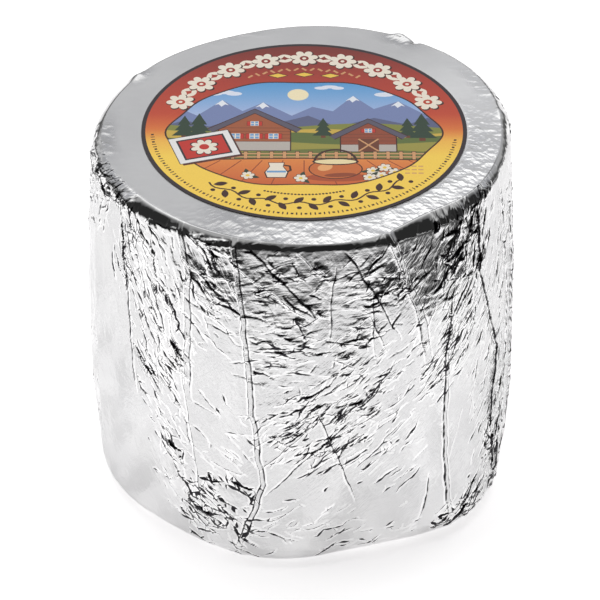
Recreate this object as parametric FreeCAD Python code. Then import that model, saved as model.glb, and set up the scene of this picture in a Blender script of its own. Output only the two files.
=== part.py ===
"""A whole foil-wrapped wheel of hard cheese, a little taller than a hand is wide, with a round
paper label on its flat top.

Two solids, one STEP file each:
  wrapped_wheel  the cheese in its foil: a slightly barrel-shaped drum with a tight rim, a softer
                 foot and long pressed pleats where the foil sheet was gathered down the side
  label          the thin paper disc that lies on the flat top

Frame: millimetres, +Z up, origin at the centre of the base, -Y towards the front. A bearing is
an angle about +Z in degrees, 0 at the front and growing towards +X.
"""

import FreeCAD, Part  # noqa: E401  FreeCAD has to come first
import math
import os

# ---- Driving dimensions, in millimetres -------------------------------------------------------
HEIGHT = 94.0  # from the base to the flat top
RIM_RADIUS = 50.2  # of the side, carried up to the level of the top
BELLY_RADIUS = 52.9  # of the side at its widest
BELLY_HEIGHT = 36.0  # where the side is widest
FOOT_RADIUS = 51.7  # of the side, carried down to the level of the base
RIM_ROUND = 2.8  # rounding between the top and the side
FOOT_ROUND = 6.0  # rounding between the side and the base
LABEL_RADIUS = 39.4
LABEL_THICKNESS = 0.25
PLEAT_STEP = 0.7  # how far a pleat's free edge stands proud of the side
PLEAT_WIDTH = 7.0  # from a pleat's free edge to its root, round the side
PLEAT_EDGE = 0.5  # width of the steep face at the free edge
PLEAT_FADE = 8.0  # length over which a pleat rises at each of its ends

# Hand-pressed unevenness: (waves round the drum, size in mm, bearing of a crest)
RIM_WAVES = [(1, 0.3, 110.0), (2, 0.6, 140.0), (3, 0.7, 143.0)]
SIDE_WAVES = [(1, 0.4, -90.0), (2, 0.3, -20.0), (3, 0.2, 20.0), (5, 0.15, 48.0)]
FOOT_WAVES = [(4, 0.9, -35.0), (6, 1.3, -9.0)]
RIM_REACH = 16.0  # how far down the side the rim's waves fade out
FOOT_REACH = 26.0  # how far up the side the foot's waves fade out

# Long pleats: (bearing at the rim, bearing at the foot, start above the base, end below the top)
FRONT_PLEATS = [
    (-73.0, -71.0, 6.0, 14.0),
    (-57.0, -47.0, 40.0, 0.0),
    (-36.0, -27.0, 18.0, 0.0),
    (-20.0, -10.0, 3.0, 0.0),
    (4.0, 16.0, 14.0, 38.0),
    (24.0, 36.0, 52.0, 0.0),
    (44.0, 50.0, 4.0, 18.0),
    (58.0, 66.0, 16.0, 2.0),
]
BACK_PLEATS = 11  # the rest are spread unevenly round the back
BACK_SPREAD = 0.28  # how far a back pleat strays, as a share of the gap between two of them
BACK_LEAN = (-2.4, 5.6)  # least and most that a back pleat leans between rim and foot, degrees
BACK_LOWEST = (4.0, 34.0)  # lowest and highest start of a back pleat above the base

# Facets
COLUMN_GAP = 5.0  # widest step round the drum, in degrees
SIDE_ROWS = 22
ROUND_STEPS = 5  # facets across the rim's rounding, and across the foot's

# Three irrational steps whose multiples spread evenly over 0 to 1, for uneven spacing
SPREAD_STEPS = (0.6180340, 0.7548777, 0.5698403)


def side_radius(z):
    """Radius of the smooth side at height z."""
    if z > BELLY_HEIGHT:
        share = (z - BELLY_HEIGHT) / (HEIGHT - BELLY_HEIGHT)
        return BELLY_RADIUS - (BELLY_RADIUS - RIM_RADIUS) * share**2
    share = (BELLY_HEIGHT - z) / BELLY_HEIGHT
    return BELLY_RADIUS - (BELLY_RADIUS - FOOT_RADIUS) * share**2


def outline():
    """(height, inset from the smooth side) of each row of corners, from the base to the top."""
    turns = [math.radians(90.0 * k / ROUND_STEPS) for k in range(ROUND_STEPS + 1)]
    rows = [(FOOT_ROUND * (1 - math.cos(a)), FOOT_ROUND * (1 - math.sin(a))) for a in turns]
    low, high = FOOT_ROUND, HEIGHT - RIM_ROUND
    rows += [(low + (high - low) * k / SIDE_ROWS, 0.0) for k in range(1, SIDE_ROWS)]
    rows += [
        (HEIGHT - RIM_ROUND * (1 - math.sin(a)), RIM_ROUND * (1 - math.cos(a))) for a in turns
    ]
    return rows


def between(limits, share):
    """The value that lies this share of the way from the first limit to the second."""
    return limits[0] + (limits[1] - limits[0]) * share

def back_pleats():
    """Pleats round the back, strayed from even spacing."""
    start = FRONT_PLEATS[-1][0]
    gap = (360.0 + FRONT_PLEATS[0][0] - start) / (BACK_PLEATS + 1)
    pleats = []
    for k in range(1, BACK_PLEATS + 1):
        stray, lean, low = ((k * step) % 1.0 for step in SPREAD_STEPS)
        bearing = start + gap * (k + BACK_SPREAD * (2 * stray - 1))
        foot = bearing + between(BACK_LEAN, lean)
        pleats.append((bearing, foot, between(BACK_LOWEST, low), 0.0))
    return pleats


def pleat_lift(pleat, z):
    """How far the free edge of a pleat stands proud at height z."""
    start, end = pleat[2], pleat[3]
    rise = min(1.0, max(0.0, (z - start) / PLEAT_FADE))
    fall = min(1.0, max(0.0, (HEIGHT - end - z) / PLEAT_FADE)) if end else 1.0
    return PLEAT_STEP * rise * fall


def columns():
    """(bearing at the rim, bearing at the foot, pleat whose free edge it is or None), in order."""
    width, edge = (math.degrees(w / BELLY_RADIUS) for w in (PLEAT_WIDTH, PLEAT_EDGE))
    pleats = FRONT_PLEATS + back_pleats()
    marks = []
    for pleat in pleats:
        rim, foot = pleat[0], pleat[1]
        marks += [(rim - edge, foot - edge, None), (rim, foot, pleat)]
        marks += [(rim + width, foot + width, None)]
    first = marks[0]
    found = []
    for here, after in zip(marks, marks[1:] + [(first[0] + 360.0, first[1] + 360.0, None)]):
        gap = max(after[0] - here[0], after[1] - here[1])
        steps = max(1, math.ceil(gap / COLUMN_GAP))
        found.append(here)
        for k in range(1, steps):
            share = k / steps
            rim, foot = (here[i] + (after[i] - here[i]) * share for i in (0, 1))
            found.append((rim, foot, None))
    return found


def waves(terms, bearing):
    """The sum of a few cosines round the drum."""
    return sum(size * math.cos(math.radians(n * (bearing - crest))) for n, size, crest in terms)

def unevenness(bearing, z):
    """How far the hand-pressed side stands out or in at a bearing and height."""
    rim = max(0.0, 1.0 - (HEIGHT - z) / RIM_REACH)
    foot = max(0.0, 1.0 - z / FOOT_REACH)
    lift = rim * waves(RIM_WAVES, bearing) + foot * waves(FOOT_WAVES, bearing)
    return lift + (1.0 - rim - foot) * waves(SIDE_WAVES, bearing)

def corner(column, row):
    """The point where a column of facets meets a row."""
    rim, foot, pleat = column
    z, inset = row
    bearing = foot + (rim - foot) * z / HEIGHT
    radius = side_radius(z) - inset + unevenness(bearing, z)
    if pleat:
        radius += pleat_lift(pleat, z)
    a = math.radians(bearing)
    return FreeCAD.Vector(radius * math.sin(a), -radius * math.cos(a), z)


def wrapped_wheel():
    """The drum as one faceted solid with a flat top and a flat base."""
    cols, rows = columns(), outline()
    n = len(cols)
    points = [corner(c, r) for r in rows for c in cols]
    base_centre, top_centre = len(points), len(points) + 1
    points += [FreeCAD.Vector(0, 0, 0), FreeCAD.Vector(0, 0, HEIGHT)]
    facets = []
    for j in range(len(rows) - 1):
        for i in range(n):
            a, b = j * n + i, j * n + (i + 1) % n
            facets += [(a, b, b + n), (a, b + n, a + n)]
    last = (len(rows) - 1) * n
    for i in range(n):
        facets.append((base_centre, (i + 1) % n, i))
        facets.append((top_centre, last + i, last + (i + 1) % n))
    skin = Part.Shape()
    skin.makeShapeFromMesh((points, facets), 0.001)
    print("wrapped_wheel:", n, "columns,", len(facets), "triangles")
    return Part.makeSolid(skin).removeSplitter()


def label():
    """The paper disc, face to face with the flat top."""
    return Part.makeCylinder(LABEL_RADIUS, LABEL_THICKNESS, FreeCAD.Vector(0, 0, HEIGHT))


def main():
    os.makedirs("parts", exist_ok=True)
    for name, make in (("wrapped_wheel", wrapped_wheel), ("label", label)):
        shape = make()
        print(name, "valid", shape.isValid(), "volume_cm3", round(shape.Volume / 1000, 2))
        shape.exportStep("parts/%s.step" % name)


main()
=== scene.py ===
"""Looks of the foil-wrapped cheese wheel.

The foil is one skin of relief, worked out on a grid that runs round the drum and up its outline, then
cut into pieces along columns. The label is a thin disc whose print is a mesh of coloured shapes.

Lengths are in millimetres and are turned into metres when a mesh is made. A bearing is an angle
round the drum in degrees: 0 at the front (-Y), growing towards +X. A place on the foil is a bearing
and a reach, which is the length along the outline from the edge of the base up to the top.
"""

from math import cos, dist, hypot, pi, radians, sin

import bpy
import numpy as np
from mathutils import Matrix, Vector
from mathutils.geometry import delaunay_2d_cdt


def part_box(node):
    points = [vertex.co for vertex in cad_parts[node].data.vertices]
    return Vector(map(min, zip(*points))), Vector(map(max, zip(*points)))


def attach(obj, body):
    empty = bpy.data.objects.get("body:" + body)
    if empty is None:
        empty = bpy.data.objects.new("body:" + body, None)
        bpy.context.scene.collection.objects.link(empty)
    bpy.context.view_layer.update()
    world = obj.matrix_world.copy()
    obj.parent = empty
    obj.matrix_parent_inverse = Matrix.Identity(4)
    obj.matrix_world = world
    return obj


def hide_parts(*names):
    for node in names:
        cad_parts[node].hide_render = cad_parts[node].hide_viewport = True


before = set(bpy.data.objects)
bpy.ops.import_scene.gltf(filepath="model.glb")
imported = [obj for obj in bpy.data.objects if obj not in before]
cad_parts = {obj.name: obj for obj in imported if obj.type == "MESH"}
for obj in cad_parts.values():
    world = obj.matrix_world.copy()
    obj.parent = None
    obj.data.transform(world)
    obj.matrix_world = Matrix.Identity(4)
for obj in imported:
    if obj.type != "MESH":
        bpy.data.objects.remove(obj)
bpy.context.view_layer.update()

MM = 0.001

# ---- The drum, as the CAD has it ----
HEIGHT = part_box("wrapped_wheel")[1].z / MM
RIM_RADIUS = 50.2
BELLY_RADIUS = 52.9
BELLY_HEIGHT = 36.0
FOOT_RADIUS = 51.7
FOOT_ROUND = 6.0
RIM_DEPTH = 2.6  # height of the sloping band under the top's crisp edge
RIM_SLOPE = 60.0  # how far that band leans back at its upper end, in degrees
RIM_BAND = 0.90  # share of the rim's outline that the band takes, before the crisp edge
RIM_ROWS = 16
RIM_FADE = 3.2  # over how much of the outline the side's relief dies away below the crisp edge
EDGE_RELIEF = 0.15  # share of the side's relief that is left at the edge
LABEL_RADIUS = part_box("label")[1].x / MM
LABEL_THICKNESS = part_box("label")[1].z / MM - HEIGHT

# Waves round the drum: (how many, size, bearing of a crest)
RIM_WAVES = [(1, 0.3, 110.0), (2, 0.6, 140.0), (3, 0.7, 143.0)]
SIDE_WAVES = [(1, 0.4, -90.0), (2, 0.3, -20.0), (3, 0.2, 20.0), (5, 0.15, 48.0)]
FOOT_WAVES = [(4, 0.9, -35.0), (6, 1.3, -9.0)]
BAND_WAVES = [(7, 0.25, -40.0 / 7)]
RIM_REACH = 16.0
FOOT_REACH = 26.0

# Bumps round the drum: (bearing, half-width in degrees, size)
FLARE = [(-58.0, 36.0, 0.7)]
FLARE_FROM = 40.0  # height at which the flare begins
BAND_SWELLS = [(36.0, 14.0, 1.0), (-54.0, 20.0, 0.5), (0.0, 20.0, -1.3)]
RIM_NUBS = [(-121, 2.4, 0.5), (151, 2.4, 0.8), (146, 1.2, -0.6), (100, 3.0, 0.4)]
RIM_BUNCHES = [(-86, 10, 1.0), (-122, 5, 0.8), (150, 6, 1.0), (64, 14, 0.8), (118, 10, 0.6),
               (-160, 9, 0.6)]
FRAYED = [(-68.0, 18.0), (58.0, 14.0)]  # bearing and half-width where the creases' painted shade reaches the edge

SLACK_FROM = 66.0  # height from which slack foil hangs in under the rim
SLACK_FADE = 7.0  # how far in from the top's edge it still pulls the foil in
LIFT_FADE = 2.4  # how far in from the top's edge the edge's own relief dies away
TOP_ROLL = 0.62  # how far the top rolls down at its front edge
GATHERS = 46  # folds round the base
TOP_UV_WIDTH = 120.0

# ---- The grid ----
FINE_SPAN = 66.0  # bearings up to this far from the front get fine columns
FINE_STEP = 0.25  # degrees
COARSE_STEP = 0.40
ROW_STEP = 0.27  # along the outline
TOP_STEP = 0.36  # across the foil's flat top, outside the label
HIDDEN_RINGS = [36.0, 30.0, 20.0, 10.0, 0.0]  # radii of the rows under the label
BASE_ROWS = 22
TOP_OVERLAP = 1.6  # how far the fine part of the top runs in under the label
SIDE_CUTS = [-180.0, -110.0, -57.0, -20.0, 18.0, 55.0, 118.0, 180.0]  # bearings


# ---- Repeatable noise and soft shapes ----
def chance(ix, iy, seed):
    """A repeatable number from 0 to 1 for each whole-number place."""
    h = (ix * 374761393 + iy * 668265263 + seed * 1442695041) & 0xFFFFFFFF
    h = ((h ^ (h >> 13)) * 1274126177) & 0xFFFFFFFF
    return ((h ^ (h >> 16)) & 0xFFFFFF) / float(0x1000000)


def noise(x, y, seed):
    """Smooth noise between about -1 and 1, with features one unit apart."""
    ix, iy = np.floor(x).astype(np.int64), np.floor(y).astype(np.int64)
    fx, fy = x - ix, y - iy
    sx, sy = fx * fx * (3 - 2 * fx), fy * fy * (3 - 2 * fy)
    total = 0.0
    for dx in (0, 1):
        for dy in (0, 1):
            turn = 2 * pi * chance(ix + dx, iy + dy, seed)
            slope = np.cos(turn) * (fx - dx) + np.sin(turn) * (fy - dy)
            total = total + slope * (sx if dx else 1 - sx) * (sy if dy else 1 - sy)
    return 1.5 * total


def bowls(x, y, seed):
    """Shallow bowls, about one unit wide, that meet in sharp ridges. From 0 to about 0.6."""
    ix, iy = np.floor(x).astype(np.int64), np.floor(y).astype(np.int64)
    best = np.full(np.shape(x), 9.0)
    for dx in (-1, 0, 1):
        for dy in (-1, 0, 1):
            jx, jy = ix + dx, iy + dy
            away = (x - jx - chance(jx, jy, seed)) ** 2 + (y - jy - chance(jx, jy, seed + 1)) ** 2
            best = np.minimum(best, away)
    return best


def unit(x):
    """The same number, held between 0 and 1."""
    return np.clip(x, 0.0, 1.0)


def smooth(x, low, high):
    """0 below low, 1 above high, and an even rise between them."""
    t = unit((x - low) / (high - low))
    return t * t * (3 - 2 * t)


def hump(x, centre, half):
    """A soft bump of height 1 round centre."""
    return np.exp(-(((x - centre) / half) ** 2))


def facing(bearing, centre, low, high):
    """1 towards a bearing, 0 away from it, as the cosine between them goes from high to low."""
    return smooth(np.cos(np.radians(bearing - centre)), low, high)


def bumps(bearing, terms):
    return sum(size * hump(bearing, centre, half) for centre, half, size in terms)


def waves(bearing, terms):
    return sum(size * np.cos(np.radians(n * (bearing - crest))) for n, size, crest in terms)


def onward(place, run, turn):
    """The place at the end of a run from another place, along a turn in degrees."""
    x, y = place
    return x + run * cos(radians(turn)), y + run * sin(radians(turn))


def running(steps):
    """The running total of some steps, from 0."""
    return np.concatenate([[0.0], np.cumsum(steps)])


def around(bearing):
    """Length round the belly from the front to a bearing."""
    return bearing * pi / 180 * BELLY_RADIUS


# ---- Outline of the drum ----
def side_radius(z):
    above = unit((z - BELLY_HEIGHT) / (HEIGHT - BELLY_HEIGHT))
    below = unit((BELLY_HEIGHT - z) / BELLY_HEIGHT)
    radius = BELLY_RADIUS - (BELLY_RADIUS - RIM_RADIUS) * above**2
    return radius - (BELLY_RADIUS - FOOT_RADIUS) * below**2


def unevenness(bearing, z):
    """How far the hand-pressed side stands out or in, as in the CAD."""
    rim = unit(1.0 - (HEIGHT - z) / RIM_REACH)
    foot = unit(1.0 - z / FOOT_REACH)
    lift = rim * waves(bearing, RIM_WAVES) + foot * waves(bearing, FOOT_WAVES)
    flare = bumps(bearing, FLARE) * smooth(z, FLARE_FROM, HEIGHT)
    return lift + flare + (1.0 - rim - foot) * waves(bearing, SIDE_WAVES)


def rim_outline():
    """The rim as (share of its depth, inset as a share of its depth, lean in radians) by row."""
    share = np.linspace(0.0, 1.0, RIM_ROWS + 1)
    band = RIM_SLOPE * unit(share / RIM_BAND) ** 0.8
    lean = np.radians(band + (90.0 - RIM_SLOPE) * smooth(share, RIM_BAND, 1.0))
    middle = (lean[1:] + lean[:-1]) / 2
    inset, climb = running(np.sin(middle)), running(np.cos(middle))
    return climb / climb[-1], inset / climb[-1], lean


def columns():
    """Bearings of the grid's columns, from -180 up to just under 180."""
    fine = np.arange(-FINE_SPAN, FINE_SPAN, FINE_STEP)
    count = int(round((360.0 - 2 * FINE_SPAN) / COARSE_STEP))
    coarse = FINE_SPAN + (360.0 - 2 * FINE_SPAN) * np.arange(count) / count
    return np.sort(np.concatenate([fine, np.where(coarse >= 180.0, coarse - 360.0, coarse)]))


def outline_rows(bearing):
    """Points of the smooth outline at every bearing, from the base's centre to the top's centre.

    Returns radius, height and the two parts of the outward normal, each as rows by columns, the reach
    of every row, and the numbers of the rows where the foot, the top and what the label hides begin.
    """
    depth = RIM_DEPTH + bumps(bearing, BAND_SWELLS) + waves(bearing, BAND_WAVES)
    climb, inset, lean = rim_outline()
    level = pi / 2
    foot_steps = int(FOOT_ROUND * level / ROW_STEP)
    side_steps = int((HEIGHT - FOOT_ROUND - RIM_DEPTH) / ROW_STEP)
    fine_to = LABEL_RADIUS - TOP_OVERLAP
    rings = int((RIM_RADIUS - RIM_DEPTH - fine_to) / TOP_STEP)
    rows = []

    def add(z, inside, tilt, ring=0.0, share=0.0):
        """A row that lies inside the side's outline, and goes in a share of the way to a ring."""
        r = side_radius(z) + unevenness(bearing, z) - inside
        r = r + (ring - r) * share
        rows.append(np.broadcast_arrays(r, z, cos(tilt), sin(tilt)))

    for k in range(BASE_ROWS):
        add(0.0, FOOT_ROUND, -level, share=1.0 - k / BASE_ROWS)
    for turn in level * np.arange(foot_steps) / foot_steps:
        add(FOOT_ROUND * (1 - cos(turn)), FOOT_ROUND * (1 - sin(turn)), turn - level)
    for k in range(side_steps):
        add(FOOT_ROUND + (HEIGHT - depth - FOOT_ROUND) * (k / side_steps), 0.0, 0.0)
    for k in range(RIM_ROWS + 1):
        add(HEIGHT - depth * (1 - climb[k]), depth * inset[k], lean[k])
    for k in range(1, rings + 1):
        add(HEIGHT, depth * inset[-1], level, fine_to, k / rings)
    for ring in HIDDEN_RINGS:
        add(HEIGHT, 0.0, level, ring, 1.0)
    radius, height, out, up = np.array(rows).transpose(1, 0, 2)
    reach = running(np.hypot(np.diff(radius, axis=0), np.diff(height, axis=0)).mean(axis=1))
    hidden = len(rows) - len(HIDDEN_RINGS)
    return radius, height, out, up, reach - reach[BASE_ROWS], BASE_ROWS, hidden - rings - 1, hidden


# ---- Relief of the side ----
# Long folds, each a free edge that stands proud: (places along it as (bearing, height), step at the
# free edge, width of the slope beside it, half the width of its painted shade line, width of the
# raised band where it is one, or 0). A negative width puts the slope on the line's other side.
LONG_FOLDS = [
    ([(-73, 80), (-72, 40), (-71, 4)], 0.4, 5.0, 0.14, 0),
    ([(-86, 88), (-80, 74), (-81, 40)], 0.2, 3.0, 0.12, 0),
    ([(-74, 92), (-79, 75)], 0.2, 3.0, 0.12, 0),
    ([(-58, 94), (-54, 76), (-50, 40)], 0.4, -5.0, 0.12, 0),
    ([(-37, 94), (-32, 82), (-32, 46)], 0.3, 6.0, 0.12, 1.3),
    ([(-35, 60), (-32, 48), (-30, 34), (-27, 12)], 0.3, 5.0, 0.16, 0),
    ([(-20, 94), (-16, 72), (-14, 48), (-11, 26), (-18, 5)], 0.45, 7.0, 0.15, 0.9),
    ([(-16, 93), (-4, 82), (5, 74)], 0.2, -5.0, 0.16, 0),
    ([(-20, 88), (-6, 79), (4, 72)], 0.2, 4.0, 0.13, 0),
    ([(-4, 93), (8, 82)], 0.2, 3.0, 0.17, 0),
    ([(9, 88), (7, 78), (7, 65)], 0.2, 3.0, 0.13, 0),
    ([(10, 92), (18, 80), (26, 65)], 0.3, -5.0, 0.18, 0),
    ([(17, 74), (23, 62)], 0.2, 3.0, 0.15, 0),
    ([(18, 80), (19, 60)], 0.2, 3.5, 0.12, 0),
    ([(23, 94), (31, 70), (34, 56)], 0.4, 5.0, 0.12, 1.5),
    ([(55, 93), (54, 74), (64, 46), (61, 20)], 0.5, 6.0, 0.20, 0),
    ([(42, 74), (40, 56), (40, 26), (42, 6)], 0.4, 6.0, 0.14, 0.7),
    ([(58, 57), (48, 46)], 0.3, -4.0, 0.14, 0),
    ([(47, 37), (41, 23)], 0.3, -4.0, 0.12, 0),
    ([(36, 23), (33, 8)], 0.3, 4.0, 0.14, 0),
    ([(3, 49), (9, 34), (14, 19)], 0.3, 5.0, 0.16, 0),
    ([(-72, 78), (-67, 91)], 0.3, 3.0, 0.14, 0),
    ([(70, 90), (73, 60), (71, 12)], 0.4, 5.0, 0.14, 0),
    ([(-12, 30), (2, 44)], 0.2, 4.0, 0.12, 0),
    ([(-10, 22), (4, 38)], 0.2, -4.0, 0.12, 0),
]

# Patches of heavy folds: (bearing, height, half-width in degrees, half-height in mm, how many,
# slant in degrees from level, spread of the slant, most of half the width of the painted shade line)
HEAVY_PATCHES = [
    (-41, 70, 8, 12, 16, -58, 14, 0.22),
    (-80, 85, 6, 7, 10, 62, 26, 0.22),
    (-44, 52, 8, 8, 12, -40, 16, 0.27),
    (-51, 84, 8, 8, 12, -62, 30, 0.22),
    (-28, 86, 8, 5, 12, -32, 14, 0.24),
    (-34, 26, 8, 10, 12, -50, 24, 0.28),
    (-25, 17, 11, 10, 34, -28, 34, 0.42),
    (-3, 84, 8, 6, 7, -42, 12, 0.22),
    (10, 64, 6, 4, 9, -4, 20, 0.28),
    (21, 74, 5, 6, 8, 30, 30, 0.26),
    (47, 84, 9, 9, 36, 50, 46, 0.42),
    (44, 58, 8, 10, 10, 48, 12, 0.18),
    (50, 6, 14, 3, 34, 10, 36, 0.46),
    (63, 18, 6, 10, 26, 56, 30, 0.40),
    (2, 40, 14, 8, 12, 38, 12, 0.18),
    (1, 77, 4, 3, 5, -50, 10, 0.36),
    (-15, 14, 4, 8, 3, 66, 20, 0.46),
    (-68, 92, 13, 1.6, 44, 20, 60, 0.26),
    (-36, 92, 12, 1.2, 16, -30, 30, 0.22),
    (52, 92, 12, 1.6, 26, 60, 40, 0.22),
]

# Patches of short creases: the same, but the last is the height of a step
CREASE_PATCHES = [
    (-43, 76, 9, 13, 100, -62, 16, 0.30),
    (-53, 82, 7, 10, 60, -65, 28, 0.30),
    (-40, 54, 11, 11, 46, -48, 20, 0.34),
    (-26, 78, 6, 11, 60, -34, 24, 0.26),
    (-38, 34, 9, 11, 46, -52, 22, 0.36),
    (-26, 14, 12, 10, 50, -30, 46, 0.42),
    (-20, 34, 7, 12, 24, -45, 30, 0.26),
    (-8, 66, 9, 13, 100, 3, 13, 0.24),
    (-8, 84, 12, 6, 46, 10, 30, 0.30),
    (4, 46, 14, 8, 90, 34, 16, 0.28),
    (0, 36, 12, 8, 70, 36, 14, 0.26),
    (14, 56, 8, 9, 50, 28, 18, 0.26),
    (13, 74, 5, 9, 26, 5, 20, 0.22),
    (18, 82, 6, 7, 60, 24, 34, 0.36),
    (34, 80, 8, 9, 60, 40, 50, 0.30),
    (47, 82, 7, 9, 100, 52, 30, 0.38),
    (42, 62, 9, 9, 100, 46, 14, 0.32),
    (34, 52, 10, 8, 50, 34, 14, 0.22),
    (55, 46, 6, 17, 60, 50, 18, 0.30),
    (62, 16, 7, 12, 110, 42, 26, 0.42),
    (44, 6, 9, 3, 40, 22, 26, 0.40),
    (66, 60, 6, 30, 60, 66, 16, 0.34),
    (-70, 86, 5, 7, 26, 62, 30, 0.30),
    (-78, 40, 3, 26, 14, -74, 10, 0.30),
    (20, 30, 9, 10, 36, 38, 18, 0.20),
    (-4, 12, 14, 7, 30, 20, 40, 0.22),
    (18, 6, 14, 3, 20, 14, 30, 0.28),
]
BACK_PATCHES = 34
BACK_FOLDS = 12
STEEP = 0.27  # width of the steep face of a fold
BRANCHING = 0.22  # how often a corner of a crease has a branch
TAPER = 8.0  # the longest stretch over which a fold's dark line narrows to its end
DARK_REACH = 0.5  # distance over which the painted crease shade rises from 0 to 1
GLINT_AWAY = 0.24  # from a painted shade line's edge to the middle of the painted highlight beside it
GLINT_HALF = 0.28

# Sets of level ripples: (bearing, height, half-width in degrees, half-height in mm, depth)
RIPPLE_PATCHES = [
    (-7, 67, 10, 17, 0.09),
    (12, 76, 9, 12, 0.11),
    (34, 78, 8, 9, 0.16),
    (-24, 80, 8, 9, 0.10),
    (2, 42, 16, 7, 0.10),
]
RIPPLE_PITCH = 2.3

# Smooth panels where the foil lies tight: (bearing, height, half-width, half-height)
SMOOTH_PANELS = [(-65, 44, 7, 38), (26, 28, 10, 16), (10, 8, 16, 6), (-46, 12, 7, 12)]

# Sets of fine wrinkles: (slant in degrees, length, pitch, depth, least and most slant of the creases
# that they go with)
WRINKLE_SETS = [(-56.0, 4.0, 1.2, 0.045, -90, -20), (4.0, 4.6, 1.1, 0.03, -20, 25),
                (42.0, 4.0, 1.0, 0.045, 25, 90)]


class Relief:
    """The foil's height above the smooth drum, with painted shade in its creases and painted highlights
    beside them.
    """

    def __init__(self, bearing, heights, reach):
        side = (heights > 0.0) & (heights < HEIGHT)
        self.known = heights[side], reach[side]
        self.across, self.reach = around(bearing), reach
        x, y = np.meshgrid(self.across, reach)
        self.height, self.painted_glint = np.zeros_like(x), np.zeros_like(x)
        self.painted_crease_shade = np.full_like(x, -1.0)
        self.x = x + 0.09 * noise(x / 1.3, y / 1.3, 21) + 0.5 * noise(x / 5, y / 5, 22)
        self.y = y + 0.09 * noise(x / 1.3, y / 1.3, 23) + 0.5 * noise(x / 5, y / 5, 24)

    def to_reach(self, height):
        return float(np.interp(height, *self.known))

    def place(self, bearing, height):
        return around(bearing), self.to_reach(height)

    def window(self, points, margin):
        """The part of the grid within a margin of some points."""
        xs, ys = zip(*points)
        i0, i1 = np.searchsorted(self.across, (min(xs) - margin, max(xs) + margin))
        j0, j1 = np.searchsorted(self.reach, (min(ys) - margin, max(ys) + margin))
        return slice(j0, j1), slice(i0, i1)

    def crease(self, points, step, width, gap, fade):
        """A fold along a line: a steep face, then a slope that falls off over its width.

        Its painted shade line is twice the gap wide where it is widest, and narrows to its ends.
        """
        part = self.window(points, abs(width) + 1.6)
        x, y = self.x[part], self.y[part]
        if not x.size:
            return
        lengths = [dist(a, b) for a, b in zip(points, points[1:])]
        total, before = sum(lengths), 0.0
        nearest = np.full(x.shape, 1e9)
        aside, along = np.zeros_like(x), np.zeros_like(x)
        for (ax, ay), (bx, by), length in zip(points, points[1:], lengths):
            ux, uy = (bx - ax) / length, (by - ay) / length
            t = np.clip((x - ax) * ux + (y - ay) * uy, 0.0, length)
            px, py = x - ax - t * ux, y - ay - t * uy
            away = np.hypot(px, py)
            closer = away < nearest
            side = np.sign(px * -uy + py * ux)
            nearest = np.where(closer, away, nearest)
            aside = np.where(closer, side * away, aside)
            along = np.where(closer, before + t, along)
            before += length
        if width < 0:
            aside = -aside
        left = np.minimum(along, total - along)
        rise = unit(1.0 + aside / STEEP) * unit(1.0 - aside / abs(width))
        self.height[part] += step * smooth(left, 0.0, fade) * rise**1.5
        wedge = np.minimum(2.2 * along, total - along)
        taper = unit(wedge / min(TAPER, 0.6 * total)) ** 0.8
        rough = 0.45 if total < 12.0 else 0.25
        uneven = 0.85 + rough * np.sin(along / 0.6 + 5.0 * points[0][0]) * np.sin(along / 1.4)
        half, middle = gap * taper * uneven, aside + STEEP / 2
        self.painted_crease_shade[part] = np.maximum(self.painted_crease_shade[part], half - np.abs(middle))
        beside = 1.0 - np.abs(middle + half + GLINT_AWAY) / GLINT_HALF
        # Painted highlight: a bright line beside the painted shade line.
        self.painted_glint[part] = np.maximum(self.painted_glint[part], beside * np.minimum(1.2, 5.0 * taper))


def either_way(draw, low, high):
    """A random size between two values, with either sign."""
    return draw.choice([-1.0, 1.0]) * draw.uniform(low, high)


def back_bearing(draw, start, k, count, jitter):
    """One of some bearings spread unevenly round the back, from start at one side to the other."""
    bearing = start + 2 * (180.0 - start) * (k + draw.uniform(-jitter, jitter)) / count
    return bearing - 360.0 if bearing > 180.0 else bearing


def long_folds(relief):
    """The folds that the front shows, then uneven ones round the back."""
    for points, step, width, gap, band in LONG_FOLDS:
        line = [relief.place(b, h) for b, h in points]
        if band:
            relief.crease(line, 0.5 * step, band, gap, 4.0)
            relief.crease([(x + band, y) for x, y in line], 0.5 * step, -band, gap, 4.0)
        relief.crease(line, step, width, gap, 5.0)
    draw = np.random.default_rng(11)
    for k in range(BACK_FOLDS):
        bearing = back_bearing(draw, 84.0, k, BACK_FOLDS, 0.35)
        lean = draw.uniform(-7.0, 9.0)
        top, low = HEIGHT - draw.choice([0.0, 0.0, 12.0, 30.0]), draw.uniform(3.0, 46.0)
        line = [relief.place(bearing + lean * s + draw.uniform(-0.9, 0.9), top + (low - top) * s)
                for s in np.linspace(0.0, 1.0, 6)]
        width = draw.choice([-1.0, 1.0, 1.0]) * draw.uniform(3.5, 7.0)
        relief.crease(line, draw.uniform(0.3, 0.7), width, draw.uniform(0.11, 0.18), 5.0)


def heavy_folds(relief):
    """Folds a few millimetres long that bend up to twice and taper to points."""
    draw = np.random.default_rng(17)
    for bearing, height, half_width, half_height, count, slant, spread, widest in HEAVY_PATCHES:
        for _ in range(count):
            line = [relief.place(bearing + half_width * draw.uniform(-1.0, 1.0),
                                 max(height + half_height * draw.uniform(-1.0, 1.0), 3.0))]
            turn = slant + spread * draw.uniform(-1.0, 1.0)
            for _ in range(draw.integers(1, 4)):
                turn += draw.uniform(-16.0, 16.0)
                line.append(onward(line[-1], draw.uniform(1.6, 4.2), turn))
            side = either_way(draw, 1.6, 3.0)
            gap = widest * draw.uniform(0.35, 0.95)
            relief.crease(line, draw.uniform(0.12, 0.3), side, gap, 1.5)
            for start in line[:-1]:
                aside = turn + either_way(draw, 30.0, 80.0)
                branch = [start, onward(start, draw.uniform(0.8, 2.6), aside)]
                relief.crease(branch, 0.12, side, gap * draw.uniform(0.3, 0.9), 0.4)


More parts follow.
